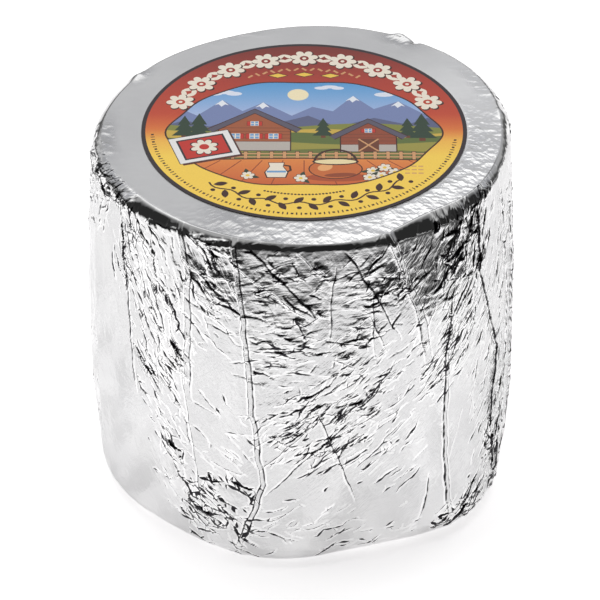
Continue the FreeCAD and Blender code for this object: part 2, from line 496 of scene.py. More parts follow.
def back_patches(draw):
    """Patches of creases round the back, like those at the front."""
    patches = []
    for k in range(BACK_PATCHES):
        bearing = back_bearing(draw, 80.0, k, BACK_PATCHES, 0.4)
        height = (15.0, 80.0, 50.0, 66.0)[k % 4] + draw.uniform(-10.0, 10.0)
        slant = draw.choice([-55.0, 50.0, 10.0, 65.0]) + draw.uniform(-8.0, 8.0)
        size = draw.uniform(0.22, 0.4)
        patches.append((bearing, height, draw.uniform(7, 12), draw.uniform(8, 15),
                        int(draw.uniform(40, 90)), slant, draw.uniform(14, 34), size))
    return patches


def crease_chain(relief, draw, start, slant, length, step):
    """A crease that wanders along a slant, with a branch at some of its corners."""
    line, turns, gone = [start], [], 0.0
    while gone < length:
        run = min(draw.uniform(1.0, 3.0), length - gone + 0.3)
        turns.append(slant + draw.normal() * 11.0)
        line.append(onward(line[-1], run, turns[-1]))
        gone += run
    gap = 0.06 + 0.24 * draw.uniform() ** 2.0
    relief.crease(line, step, either_way(draw, 1.2, 3.0), gap, min(1.4, 0.3 * length))
    for corner, turn in zip(line[1:-1], turns):
        if draw.uniform() < BRANCHING:
            aside = turn + either_way(draw, 25.0, 75.0)
            branch = [corner, onward(corner, draw.uniform(0.7, 2.2), aside)]
            side = either_way(draw, 1.0, 2.0)
            relief.crease(branch, 0.8 * step, side, draw.uniform(0.3, 1.0) * gap, 0.3)


def short_creases(relief):
    """Scattered creases, thickest in their patches. Returns the patches, front and back."""
    draw = np.random.default_rng(5)
    patches = CREASE_PATCHES + back_patches(draw)
    for bearing, height, half_width, half_height, count, slant, spread, size in patches:
        for _ in range(count):
            b = bearing + half_width * draw.normal() * 0.62
            h = height + half_height * draw.normal() * 0.62
            h = min(max(h, 2.0), HEIGHT - 1.0)
            turn = slant + spread * draw.normal() * 0.6
            length = 1.2 + draw.gamma(1.6, 2.0)
            step = 0.36 * size * draw.uniform(0.4, 1.3)
            crease_chain(relief, draw, relief.place(b, h), turn, length, step)
    return patches


def patch_weight(bearing, height, patches, full, grow=1.0):
    """How strongly patches cover each place, from 0 to 1. A patch of the full count covers it wholly."""
    clear = 1.0
    for b, h, half_width, half_height, count, *_ in patches:
        cover = hump(bearing, b, grow * half_width) * hump(height, h, grow * half_height)
        clear = clear * (1.0 - min(1.0, count / full) * cover)
    return 1.0 - clear


def foil_relief(bearing, heights, reach):
    """Relief of the foot, side and rim, and how strongly each set of fine wrinkles shows there."""
    relief = Relief(bearing, heights, reach)
    long_folds(relief)
    heavy_folds(relief)
    patches = short_creases(relief)
    x, y = np.meshgrid(relief.across, reach)
    b, h = np.meshgrid(bearing, heights)

    calm = patch_weight(b, h, [(*panel, 1) for panel in SMOOTH_PANELS], 1)
    busy = patch_weight(b, h, patches, 90) + 0.5 * smooth(h, HEIGHT - 9.0, HEIGHT - 2.0)
    busy = unit(busy) * (1.0 - 0.9 * calm)
    leans = []
    for *_, low, high in WRINKLE_SETS:
        weight = patch_weight(b, h, [p for p in patches if low <= p[5] < high], 60, 1.25)
        leans.append(unit(weight + 0.35) * (1.0 - 0.5 * calm))

    warp_x, warp_y = noise(x / 5, y / 5, 31), noise(x / 5, y / 5, 32)
    lines = y + 0.9 * warp_y + 0.5 * noise(x / 2.2, y / 6, 33)
    ripple = np.abs(((lines / RIPPLE_PITCH + 0.8 * noise(x / 9, y / 9, 34)) % 1.0) * 2 - 1)
    depth = np.max([size * hump(b, rb, half_width) * hump(h, rh, half_height)
                    for rb, rh, half_width, half_height, size in RIPPLE_PATCHES], axis=0)
    relief.height += depth * ripple * (0.5 + 0.5 * np.clip(1.6 * noise(x / 4, y / 2.5, 35), -1.0, 1.0))

    facets = 0.20 * bowls((x + 1.4 * warp_x) / 3.4, (y + 1.4 * warp_y) / 3.9, 41)
    facets += 0.12 * bowls((x - warp_y) / 1.5, (y + warp_x) / 1.6, 43)
    relief.height += facets * (0.35 + 0.65 * busy)
    relief.height += 0.16 * noise(x / 9, y / 14, 45) * (1.0 - 0.5 * calm)
    relief.height += 0.05 * noise(x / 2.6, y / 3.2, 46) * (1.0 - 0.8 * calm)

    below_edge = relief.to_reach(HEIGHT) - y
    rim_share = 1.0 - smooth(below_edge, 0.4, RIM_FADE)
    relief.height *= 1.0 - (1.0 - EDGE_RELIEF) * rim_share
    plain = np.prod([1.0 - hump(b, centre, half) for centre, half in FRAYED], axis=0)
    # The creases' painted shade fades out near the top's edge, except where the edge is frayed.
    relief.painted_crease_shade -= 0.4 * rim_share * plain
    relief.height += bumps(b, RIM_NUBS) * smooth(h, HEIGHT - 8.0, HEIGHT)
    return relief, np.stack(leans, axis=2) * smooth(below_edge, 1.0, 6.0)[:, :, None]


def slack_inset(bearing, height):
    """How far the foil hangs in under the rim, where it is slack. Below that it stands out a little."""
    share = unit((height - SLACK_FROM) / (HEIGHT - SLACK_FROM))
    pleat = 0.8 * hump(bearing, 24.0 + 0.27 * (HEIGHT - height), 0.9)
    inset = 1.9 * hump(bearing, 37.0, 13.0) * share**1.4 * (1.0 - pleat)
    inset = inset + 0.5 * hump(bearing, 0.0, 26.0) * share
    return inset - 1.3 * hump(bearing, 37.0, 14.0) * hump(height, 73.0, 9.0)


# ---- Relief of the flat top and the base ----
def top_crinkle(bearing, radius):
    """How crinkled the flat top is: strongly at the front and where its edge is bunched."""
    ahead = facing(bearing, 38.0, 0.05, 0.75)
    out = smooth(radius, LABEL_RADIUS - 0.5, LABEL_RADIUS + 1.0)
    bunched = bumps(bearing, RIM_BUNCHES) * smooth(radius, 44.0, 48.0)
    return unit(0.10 + 0.9 * ahead + bunched) * out


def top_relief(x, y, bearing, radius):
    """Crinkles of the foil's flat top, which also rolls down towards its front edge."""
    warp = noise(x / 4, y / 4, 51)
    height = 0.19 * bowls((x + warp) / 2.9, (y - warp) / 2.0, 52)
    height += 0.10 * np.abs(noise(x / 1.7, y / 1.2, 54))
    height += 0.14 * noise(x / 6, y / 6, 55)
    front = facing(bearing, 34.0, 0.2, 0.9)
    front = front * (1.0 + 1.1 * hump(bearing, 42.0, 20.0))
    roll = TOP_ROLL * front * unit((radius - LABEL_RADIUS - 1.0) / 9.0) ** 1.25
    return height * top_crinkle(bearing, radius) - roll


def base_relief(bearing, radius):
    """Gathered folds that run out from the middle of the base."""
    share = smooth(radius, 4.0, 30.0)
    turns = bearing / 360.0 * GATHERS + 0.8 * noise(radius / 9, bearing / 30.0, 61)
    gathers = np.abs((turns % 1.0) * 2 - 1)
    crumple = bowls(radius / 3.0, bearing / 4.0, 63)
    return (0.7 * gathers + 0.4 * crumple) * share * smooth(52.0 - radius, 0.0, 8.0)


# ---- The foil as a grid of points ----
def foil_grid():
    """The grid's bearings, points and reach, what its material reads, and where foot and top begin."""
    bearing = columns()
    radius, height, out, up, reach, foot, top, hidden = outline_rows(bearing)
    side = slice(foot, top + 1)
    lift, painted_crease_shade, painted_glint, satin = (np.zeros_like(radius) for _ in range(4))
    lean = np.zeros(radius.shape + (3,))
    relief, lean[side] = foil_relief(bearing, height.mean(axis=1)[side], reach[side])
    lift[side] = relief.height
    # Painted shade in the creases, from 0 to 1; the material darkens the foil's colour by it.
    painted_crease_shade[side] = unit(0.5 + relief.painted_crease_shade / DARK_REACH)
    painted_glint[side] = relief.painted_glint

    b = np.broadcast_to(bearing, radius.shape)
    turn = np.radians(b)
    inside_edge = radius[top] - radius[top:]
    lift[top:] = lift[top] * unit(1.0 - inside_edge / LIFT_FADE) ** 2
    inset = slack_inset(b, height)
    inset[top:] *= unit(1.0 - inside_edge / SLACK_FADE)
    radius = radius - inset
    x, y = radius * np.sin(turn), -radius * np.cos(turn)
    lift[top:] += top_relief(x[top:], y[top:], b[top:], radius[top:])
    crinkled = top_crinkle(b[top:], radius[top:])
    lean[top:] = 0.5 * unit(crinkled - 0.2)[:, :, None]
    satin[top:] = 1.0 - crinkled
    # Painted highlight: the flat top is lightened towards its right.
    painted_glint[top:] = facing(b[top:], 60.0, 0.0, 0.8)
    fade = smooth(radius[:foot] / radius[foot], 0.86, 1.0)
    lift[:foot] = lift[foot] * fade - base_relief(b[:foot], radius[:foot]) * (1 - fade)

    r, z = radius + lift * out, np.maximum(height + lift * up, 0.0)
    z[hidden - 3:] = np.minimum(z[hidden - 3:], HEIGHT)
    points = np.stack([r * np.sin(turn), -r * np.cos(turn), z], axis=2)
    wrap = np.stack(np.broadcast_arrays(around(bearing), reach[:, None], 0.0), axis=2)
    # The "crease" value carries the painted crease shade.
    values = {"crease": painted_crease_shade, "painted_glint": painted_glint, "satin": satin, "lean": lean, "wrap": wrap}
    return bearing, points, reach, values, foot, top


def grid_normals(points):
    """Smooth normals of a grid whose columns close on themselves."""
    across = np.roll(points, -1, axis=1) - np.roll(points, 1, axis=1)
    padded = np.concatenate([points[:1], points, points[-1:]])
    normal = np.cross(across, padded[2:] - padded[:-2])
    return normal / np.maximum(np.linalg.norm(normal, axis=2, keepdims=True), 1e-12)


def fill(items, key, values):
    """Give every item of a mesh's collection its own value."""
    items.foreach_set(key, values.astype(np.float32).ravel())


def add_object(name, data):
    thing = bpy.data.objects.new(name, data)
    bpy.context.scene.collection.objects.link(thing)
    return thing


def add_mesh(name, points, faces, uv, shade_flat):
    """A piece from points in millimetres, its faces, and the points' places on its map."""
    mesh = bpy.data.meshes.new(name)
    mesh.from_pydata(points.reshape(-1, 3) * MM, [], faces, shade_flat)
    corners = np.concatenate(faces)
    fill(mesh.uv_layers.new(name="OFBake").data, "uv", uv.reshape(-1, 2)[corners])
    return add_object(name, mesh)


def foil_piece(name, points, normals, uv, values, tip=None):
    """A mesh from a block of the grid.

    With tip, its last column joins its first, and its first row (0) or its last (-1) is one place, so
    that the faces there have three sides.
    """
    rows, cols = points.shape[:2]
    j, i = np.indices((rows - 1, cols - 1 if tip is None else cols))
    k = (i + 1) % cols
    quads = np.stack([j * cols + i, j * cols + k, (j + 1) * cols + k, (j + 1) * cols + i], axis=2)
    thirds = np.zeros((0, 3), dtype=int)
    if tip == 0:
        thirds, quads = quads[0][:, [0, 2, 3]], quads[1:]
    elif tip == -1:
        thirds, quads = quads[-1][:, [0, 1, 2]], quads[:-1]
    faces = thirds.tolist() + quads.reshape(-1, 4).tolist()
    piece = add_mesh(name, points, faces, uv, False)
    for label, data in values.items():
        kind, key = ("FLOAT_VECTOR", "vector") if data.ndim == 3 else ("FLOAT", "value")
        fill(piece.data.attributes.new(label, kind, "POINT").data, key, data)
    piece.data.normals_split_custom_set_from_vertices(normals.reshape(-1, 3).astype(np.float32))
    return piece


def make_foil(material):
    """The foil's pieces: strips round the side, then the top and the base."""
    bearing, points, reach, values, foot, top = foil_grid()
    normals = grid_normals(points)
    made = []
    edges = np.searchsorted(bearing, SIDE_CUTS)
    for n, (first, last) in enumerate(zip(edges, edges[1:])):
        cols = np.arange(first, last + 1) % len(bearing)
        block = np.ix_(np.arange(foot, top + 1), cols)
        u = np.linspace(0.01, 0.99, len(cols))
        v = (reach[foot:top + 1] / reach[top] * 0.98 + 0.01)[:, None]
        uv = np.stack(np.broadcast_arrays(u, v), axis=2)
        part = {key: data[block] for key, data in values.items()}
        if part["wrap"][0, -1, 0] < part["wrap"][0, 0, 0]:
            part["wrap"][:, -1, 0] += 2 * pi * BELLY_RADIUS
        made.append(foil_piece("foil_side_%d" % (n + 1), points[block], normals[block], uv, part))
    for name, rows, tip in (("foil_top", slice(top, None), -1), ("foil_base", slice(0, foot + 1), 0)):
        part = {key: data[rows] for key, data in values.items()}
        part["wrap"] = points[rows] * (1.0, 1.0, 0.0)
        uv = 0.5 + points[rows, :, :2] / TOP_UV_WIDTH
        made.append(foil_piece(name, points[rows], normals[rows], uv, part, tip))
    for piece in made:
        piece.data.materials.append(material)
        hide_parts("wrapped_wheel")
        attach(piece, "root")


# ---- Materials ----
class Nodes:
    """The node tree of a material or a world, with short ways to add to it."""

    def __init__(self, owner):
        owner.use_nodes = True
        self.tree = owner.node_tree

    def feed(self, node, values):
        """Give a node's inputs their values, which may be another node's outputs."""
        for key, value in values.items():
            socket = node.inputs[key]
            if isinstance(value, bpy.types.NodeSocket):
                self.tree.links.new(value, socket)
            elif isinstance(value, tuple) and len(socket.default_value) == 4:
                socket.default_value = (*value, 1.0)
            else:
                socket.default_value = value

    def add(self, kind, values, **settings):
        node = self.tree.nodes.new("ShaderNode" + kind)
        for key, value in settings.items():
            setattr(node, key, value)
        self.feed(node, values)
        return node

    def calc(self, operation, *values):
        return self.add("Math", dict(enumerate(values)), operation=operation).outputs[0]

    def scaled(self, value, by, plus):
        return self.calc("MULTIPLY_ADD", value, by, plus)

    def move(self, operation, vector, values):
        return self.add("VectorMath", {0: vector, 1: values}, operation=operation).outputs[0]

    def mix(self, factor, a, b, blend="MIX"):
        return self.add("Mix", {0: factor, 6: a, 7: b}, data_type="RGBA", blend_type=blend).outputs[2]

    def ramp(self, factor, stops):
        """A ramp through stops of (place, grey or colour)."""
        node = self.add("ValToRGB", {0: factor})
        elements = node.color_ramp.elements
        while len(elements) < len(stops):
            elements.new(0.5)
        for element, (place, shade) in zip(elements, stops):
            element.position = place
            element.color = (*(shade if isinstance(shade, tuple) else (shade,) * 3), 1.0)
        return node.outputs[0]

    def place(self, kind):
        return self.add("TexCoord", {}).outputs[kind]

    def parts(self, vector):
        return self.add("SeparateXYZ", {0: vector}).outputs

    def noise(self, scale, detail):
        values = {"Vector": self.place("Object"), "Scale": scale, "Detail": detail}
        return self.add("TexNoise", values).outputs["Fac"]

    def attribute(self, name, output="Fac"):
        return self.add("Attribute", {}, attribute_name=name).outputs[output]

    def bump(self, height, strength, distance):
        values = {"Height": height, "Strength": strength, "Distance": distance}
        return self.add("Bump", values).outputs["Normal"]

    def to_camera(self, shown, otherwise):
        """One value where the camera looks, and another for all other light."""
        return self.mix(self.add("LightPath", {}).outputs["Is Camera Ray"], otherwise, shown)


def new_material(name):
    """A material, its nodes and its shader."""
    material = bpy.data.materials.new(name)
    nodes = Nodes(material)
    return material, nodes, nodes.tree.nodes["Principled BSDF"]


def wrinkles(nodes, wrap, slant, length, pitch, depth):
    """Height of fine wrinkles that run along a slant."""
    values = {"Vector": wrap, "Angle": -radians(slant)}
    turn = nodes.add("VectorRotate", values, rotation_type="Z_AXIS")
    place = nodes.move("MULTIPLY", turn.outputs[0], (1 / length, 1 / pitch, 0.0))
    values = {"Vector": nodes.move("ADD", place, (slant, slant, 0.0)), "Scale": 1.0, "Detail": 1.5}
    wave = nodes.add("TexNoise", values, noise_dimensions="2D")
    fold = nodes.calc("ABSOLUTE", nodes.calc("SUBTRACT", wave.outputs["Fac"], 0.5))
    fold = nodes.calc("POWER", nodes.calc("MULTIPLY", fold, 4.0), 0.7)
    return nodes.calc("MULTIPLY", fold, depth)


def foil_material():
    """Bright aluminium foil: fine wrinkles, near-black painted shade in its creases, and painted highlights
    beside them.
    """
    material, nodes, shader = new_material("foil")
    # The crease value is painted shade: it darkens the foil's colour to near black.
    crease = nodes.ramp(nodes.attribute("crease"), [(0.40, 0.0), (0.56, 1.0)])
    satin = nodes.attribute("satin")
    wrap = nodes.attribute("wrap", "Vector")
    height = 0.0
    for weight, (*shape, _, _) in zip(nodes.parts(nodes.attribute("lean", "Vector")), WRINKLE_SETS):
        height = nodes.scaled(wrinkles(nodes, wrap, *shape), weight, height)
    bright = nodes.ramp(nodes.noise(60.0, 3.0), [(0.3, (0.68, 0.68, 0.685)), (0.7, 0.745)])
    # Painted highlight: the glint value mixes the foil's colour towards white.
    bright = nodes.mix(nodes.attribute("painted_glint"), bright, (1.0, 1.0, 1.0))
    rough = nodes.scaled(nodes.noise(240.0, 3.0), 0.06, 0.04)
    nodes.feed(shader, {
        "Base Color": nodes.mix(crease, bright, (0.026, 0.025, 0.028)),
        "Metallic": nodes.scaled(satin, -0.5, 1.0),
        "Roughness": nodes.scaled(satin, 0.16, rough),
        "Normal": nodes.bump(height, 1.0, MM),
    })
    return material


def paper_material():
    """Coated label paper that shows the print's colours, with a faint grain and a soft gloss."""
    material, nodes, shader = new_material("label_paper")
    grain = nodes.noise(2600.0, 2.0)
    tone = nodes.ramp(grain, [(0.3, 0.94), (0.7, 1.0)])
    nodes.feed(shader, {
        "Base Color": nodes.mix(1.0, nodes.attribute("print", "Color"), tone, "MULTIPLY"),
        "Roughness": nodes.scaled(nodes.noise(90.0, 2.0), 0.14, 0.30),
        "Normal": nodes.bump(grain, 0.12, 0.1 * MM),
    })
    return material


# ---- Label ----
# The print is built of flat shapes in millimetres about the label's centre, with +Y to the back. Each
# is a colour, or a function of Y that gives one, and an outline. A later shape covers an earlier one.
def srgb(r, g, b):
    """Linear colour from the 0 to 255 values of a colour picker."""
    parts = [c / 255.0 for c in (r, g, b)]
    return tuple(c / 12.92 if c <= 0.04045 else ((c + 0.055) / 1.055) ** 2.4 for c in parts)


INK = srgb(52, 44, 48)
LINE = srgb(66, 38, 32)
CREAM = srgb(243, 233, 216)
TAN = srgb(214, 160, 112)
YELLOW = srgb(244, 204, 84)
RED = srgb(200, 54, 44)
WOOD = srgb(166, 92, 58)
DARK_WOOD = srgb(112, 62, 42)
SLATE = srgb(94, 90, 106)
STONE = srgb(190, 182, 174)
PANE = srgb(118, 164, 210)
FIR = srgb(48, 68, 52)
BORDER = 1.0  # width of the dark ring round the print
FLOWER_RING, DASH_RING, VINE_RING, DOT_RING, TICK_RING = 32.6, 27.4, 32.4, 28.6, 36.7  # radii
PICTURE_HALF_WIDTH = 32.2
PICTURE_HALF_HEIGHT = 23.2
PICTURE_DROP = 1.6  # how far the picture's middle lies below the label's
PRINT_PITCH = 1.3  # spacing of the points that carry the gradients and the paper's slight waves
WAVE_HEIGHT = 0.05
WAVE_LENGTH = 13
WIDE = 36  # how far to each side the land and the fence reach, to be cut off by the picture's edge


def turned(points, cx, cy, turn=0.0):
    """Points turned by some degrees about the origin, then moved."""
    c, s = cos(radians(turn)), sin(radians(turn))
    return [(cx + c * x - s * y, cy + s * x + c * y) for x, y in points]


def full_turn(count):
    return [2 * pi * k / count for k in range(count)]


def ellipse(cx, cy, across, up, count=28, turn=0.0):
    return turned([(across * cos(a), up * sin(a)) for a in full_turn(count)], cx, cy, turn)


def disc(cx, cy, radius, count):
    return ellipse(cx, cy, radius, radius, count)


def box(x0, y0, x1, y1):
    return [(x0, y0), (x1, y0), (x1, y1), (x0, y1)]


def tile(cx, cy, half_width, half_height, turn=0.0):
    return turned(box(-half_width, -half_height, half_width, half_height), cx, cy, turn)


def blossom(cx, cy, radius, petals=6, turn=0.0):
    """A flower head with round petals."""
    points = []
    for angle in full_turn(8 * petals):
        r = radius * (0.62 + 0.38 * abs(sin(petals * angle / 2)) ** 0.7)
        points.append((r * cos(angle), r * sin(angle)))
    return turned(points, cx, cy, turn)


def leaf(cx, cy, length, width, turn):
    """A leaf that starts at a place and points along a turn in degrees."""
    edge = [(length * k / 7, width / 2 * sin(pi * k / 7) ** 0.8) for k in range(8)]
    return turned(edge[:-1] + [(x, -y) for x, y in edge[:0:-1]], cx, cy, turn)


def stroke(points, width):
    """The outline of a line of even width."""
    sides = ([], [])
    for k, (x, y) in enumerate(points):
        ax, ay = points[max(k - 1, 0)]
        bx, by = points[min(k + 1, len(points) - 1)]
        size = hypot(bx - ax, by - ay)
        dx, dy = -(by - ay) / size * width / 2, (bx - ax) / size * width / 2
        sides[0].append((x + dx, y + dy))
        sides[1].append((x - dx, y - dy))
    return sides[0] + sides[1][::-1]


def round_place(radius, angle):
    return onward((0.0, 0.0), radius, angle)


def land(line, floor):
    """All that lies below a line, down to a level."""
    return line + [(WIDE, floor), (-WIDE, floor)]


def hill(base, swing, pitch, shift):
    """Land below a wavy line."""
    xs = range(-WIDE, WIDE + 1, 2)
    return land([(x, base + swing * sin(x / pitch + shift)) for x in xs], -30)


def blend(y, stops):
    """The colour at a height, from (height, colour) stops in rising order."""
    heights = [s[0] for s in stops]
    return srgb(*(float(np.interp(y, heights, [s[1][c] for s in stops])) for c in range(3)))


def band_colour(y):
    return blend(y, [(-12, (255, 215, 90)), (-5, (247, 188, 82)), (0, (224, 122, 60)),
                     (7, (198, 76, 50)), (22, (176, 62, 48)), (38, (122, 48, 42))])


def sky_colour(y):
    return blend(y, [(0, (214, 216, 236)), (9, (160, 186, 228)), (21, (92, 160, 216))])


def board_colour(y):
    return blend(y, [(-26, (205, 96, 50)), (-13, (232, 142, 72))])


def frame_outline(margin):
    """The wavy edge of the picture."""
    points = []
    for angle in full_turn(120):
        swell = 1.0 + 0.022 * cos(6 * angle) + 0.012 * cos(10 * angle)
        points.append(((PICTURE_HALF_WIDTH * swell + margin) * cos(angle),
                       -PICTURE_DROP + (PICTURE_HALF_HEIGHT * swell + margin) * sin(angle)))
    return points


def border_shapes():
    """Everything outside the picture: flowers, garland, dots and the fine edging."""
    yield INK, disc(0, 0, LABEL_RADIUS, 160)
    yield band_colour, disc(0, 0, LABEL_RADIUS - BORDER, 160)
    for k in range(9):
        angle = 158.0 - 17.0 * k
        x, y = round_place(FLOWER_RING, angle)
        for side in (-1, 1):
            if 0 <= k + side * 0.5 <= 8:
                sx, sy = round_place(FLOWER_RING, angle - side * 4.6)
                for lift in (-1, 1):
                    yield CREAM, leaf(sx, sy, 3.3, 1.3, angle - side * 90 + lift * side * 34)
        yield LINE, blossom(x + 0.2, y - 0.3, 3.75, 7, angle)
        yield CREAM, blossom(x, y, 3.5, 7, angle)
        yield band_colour, disc(x, y, 1.15, 16)
        yield CREAM, disc(x, y, 0.5, 10)
    for k in range(15):
        x, y = round_place(DASH_RING, 119.0 - k * 58.0 / 14)
        yield TAN, tile(x, y, 0.75, 0.3, 45.0 + 90.0 * (k % 2))
    for x in (-6.5, 0.0, 6.5):
        y = 24.9 - 0.012 * x * x
        yield LINE, ellipse(x, y, 2.6, 1.25, 4)
        yield YELLOW, ellipse(x, y, 2.2, 0.95, 4)
    stem = [round_place(VINE_RING + 0.7 * sin(k * 0.9), 226.0 + 2.2 * k) for k in range(42)]
    yield LINE, stroke(stem, 0.45)
    for k in range(15):
        angle = 228.5 + 6.2 * k
        yield LINE, leaf(*round_place(VINE_RING, angle), 3.5, 1.7, angle + (38 if k % 2 else 142))
        yield LINE, disc(*round_place(VINE_RING + (-1.7 if k % 2 else 1.8), angle + 2.4), 0.6, 12)
    for k in range(24):
        yield LINE, disc(*round_place(DOT_RING, 251.0 + k * 38.0 / 23), 0.33, 8)
    for k in range(100):
        angle = 184.0 + 1.7 * k
        yield LINE, tile(*round_place(TICK_RING, angle), *((0.5, 0.16) if k % 3 else (0.32, 0.32)), angle)
    for k in range(9):
        x, y = 24.0 + 1.6 * (k % 3), -16.6 - 1.5 * (k // 3)
        yield TAN, box(x, y, x + 1.2, y + 0.45)


def fir_shapes(x, y, size):
    """A fir tree of three tiers on a trunk."""
    yield DARK_WOOD, box(x - 0.07 * size, y - 0.12 * size, x + 0.07 * size, y + 0.1 * size)
    for k in range(3):
        low, half = y + 0.27 * size * k, size * (0.33 - 0.075 * k)
        yield FIR, [(x - half, low), (x + half, low), (x, low + 0.46 * size)]


def gable(x, half, foot, eaves, ridge):
    """The front of a house."""
    return [(x - half, foot), (x + half, foot), (x + half, eaves), (x, ridge), (x - half, eaves)]


def house_shapes(x, y, half, eaves, ridge, wall, windows):
    """A wooden house seen on its gable: its middle, its foot, half its width, and its heights."""
    level = y + 0.22 * (ridge - y)
    yield LINE, gable(x, half + 0.3, y - 0.3, eaves, ridge + 0.3)
    yield wall, gable(x, half, y, eaves, ridge)
    yield STONE, box(x - half, y, x + half, level)
    while level < eaves:
        yield DARK_WOOD, box(x - half, level, x + half, level + 0.2)
        level += 1.5
    over = half + 2.2
    drop = (ridge - eaves) / half * 2.2
    slopes = [(x - over, eaves - drop), (x, ridge), (x + over, eaves - drop)]
    yield LINE, stroke(slopes, 2.3)
    yield SLATE, stroke(slopes, 1.7)
    for wx, wy, size in windows:
        yield LINE, tile(x + wx, wy, size + 0.9, size)
        yield RED, tile(x + wx, wy, size + 0.8, size - 0.1)
        yield CREAM, tile(x + wx, wy, size, size)
        for px in (-0.5, 0.5):
            for py in (-0.5, 0.5):
                yield PANE, tile(x + wx + px * size, wy + py * size, 0.38 * size, 0.38 * size)


def picture_shapes():
    """A made-up mountain pasture behind a board with a kettle, a jug and flowers."""
    yield sky_colour, frame_outline(0.0)
    yield srgb(250, 236, 196), ellipse(-1.5, 15.5, 2.6, 2.6)
    for x, y, size in ((-20, 16, 1.0), (6, 18.6, 0.8), (22, 15.6, 1.1)):
        for dx, dy, half in ((-2.2, 0.0, 2.2), (0.4, 0.7, 2.6), (2.8, 0.0, 2.0)):
            yield srgb(228, 233, 246), ellipse(x + dx * size, y + dy * size, half * size, 0.9 * size, 18)
    peaks = [(-36, 3), (-30, 9), (-26, 6), (-20, 13), (-15, 8), (-10, 12), (-3, 6), (2, 10), (7, 8),
             (12, 15), (17, 9), (23, 12.5), (30, 6), (36, 5)]
    yield srgb(124, 138, 182), land(peaks, -4)
    snow = [(0, 0), (-1.9, -2.3), (-0.9, -1.8), (-0.2, -3.0), (0.7, -1.9), (1.6, -2.3)]
    for k in (3, 5, 9, 11):
        yield srgb(238, 241, 247), turned(snow, *peaks[k])
    crags = [(-36, 0), (-29, 4), (-23, 1), (-16, 5), (-8, 2), (1, 6), (8, 1), (17, 5), (25, 2),
             (30, 5), (36, 2)]
    yield srgb(96, 102, 134), land(crags, -6)
    for colour, *shape in (
        (srgb(134, 138, 66), 1.2, 1.3, 9, 0.0), (srgb(208, 176, 78), -1.2, 1.2, 7, 1.0),
        (srgb(98, 114, 60), -2.8, 1.3, 8, 2.0), (srgb(160, 152, 72), -6.0, 1.0, 10, 3.4),
        (srgb(112, 120, 62), -9.5, 0.8, 9, 0.6),
    ):
        yield colour, hill(*shape)
    for x, y, size in ((-29, -3, 9), (-25.5, -4, 11), (28.5, -4, 11), (25, -3, 8), (4.6, -3, 8)):
        yield from fir_shapes(x, y, size)
    yield from house_shapes(-12, -9.5, 8.6, 1.0, 8.0, WOOD,
                            [(-4.6, -3.2, 1.2), (0, -3.2, 1.2), (4.6, -3.2, 1.2), (0, 2.4, 1.0)])
    yield from house_shapes(15.5, -10.0, 6.6, -2.0, 3.6, srgb(150, 76, 52), [(0, -0.8, 0.9)])
    yield DARK_WOOD, box(13, -10, 18, -4.4)
    yield TAN, stroke([(17.9, -9.9), (13.1, -4.5)], 0.45)
    yield TAN, stroke([(13.1, -9.9), (17.9, -4.5)], 0.45)
    for k in range(22):
        x = -33.0 + 3.1 * k
        yield LINE, box(x - 0.15, -13.6, x + 0.95, -9.9)
        yield TAN, box(x, -13.6, x + 0.8, -10.1)
    for low in (-12.6, -11.2):
        yield TAN, box(-WIDE, low, WIDE, low + 0.5)
    yield LINE, hill(-13.3, 0.5, 14, 1.5)
    yield board_colour, hill(-13.7, 0.5, 14, 1.5)
    for k in range(11):
        x = -25.0 + 5.0 * k
        yield srgb(160, 76, 46), stroke([(x, -13.9), (1.7 * x, -27.0)], 0.28)
    yield from table_shapes()


def table_shapes():
    """The kettle, the jug and the flowers on the board."""
    handle = [(7.5 + 5.0 * cos(a), -14.4 + 5.2 * sin(a)) for a in np.linspace(0.1, 3.04, 15)]
    yield srgb(176, 82, 46), ellipse(8.3, -21.3, 8.0, 1.7)
    yield LINE, stroke(handle, 0.65)
    for colour, *shape in (
        (LINE, 7.5, -17.6, 6.5, 4.3), (srgb(206, 112, 58), 7.5, -17.6, 6.2, 4.0),
        (srgb(242, 178, 118), 5.0, -16.9, 1.9, 1.4, 20, 30), (srgb(150, 74, 44), 8.6, -20.2, 3.8, 0.9, 20, 4),
        (LINE, 7.5, -14.4, 5.6, 1.5), (srgb(244, 226, 176), 7.5, -14.4, 5.0, 1.05),
    ):
        yield colour, ellipse(*shape)
    right = [(2.1, 0), (2.6, 2.2), (1.5, 4.6), (1.8, 6.2)]
    jug = [(-2.1, 0), *right, *((-x, y) for x, y in right[:0:-1])]
    yield LINE, stroke([(-5.0, -16.0), (-3.4, -16.4), (-3.2, -18.2), (-4.6, -19.4)], 0.6)
    yield LINE, [(1.12 * x - 6.6, 1.08 * y - 21.5) for x, y in jug]
    yield CREAM, turned(jug, -6.6, -21.2)
    yield PANE, box(-8.9, -19.2, -4.3, -18.4)
    for k, (x, y) in enumerate(((16.4, -18.4), (19.2, -17.0), (18.4, -20.4), (21.6, -18.9),
                                (15.6, -21.2), (-0.8, -21.6), (-13.4, -20.4))):
        for side in (-1, 1):
            yield FIR, leaf(x, y, 3.0, 1.2, 250 + 60 * side + 25 * k)
        yield LINE, blossom(x, y, 1.85, 6, 17 * k)
        yield CREAM, blossom(x, y, 1.65, 6, 17 * k)
        yield YELLOW, disc(x, y, 0.5, 10)


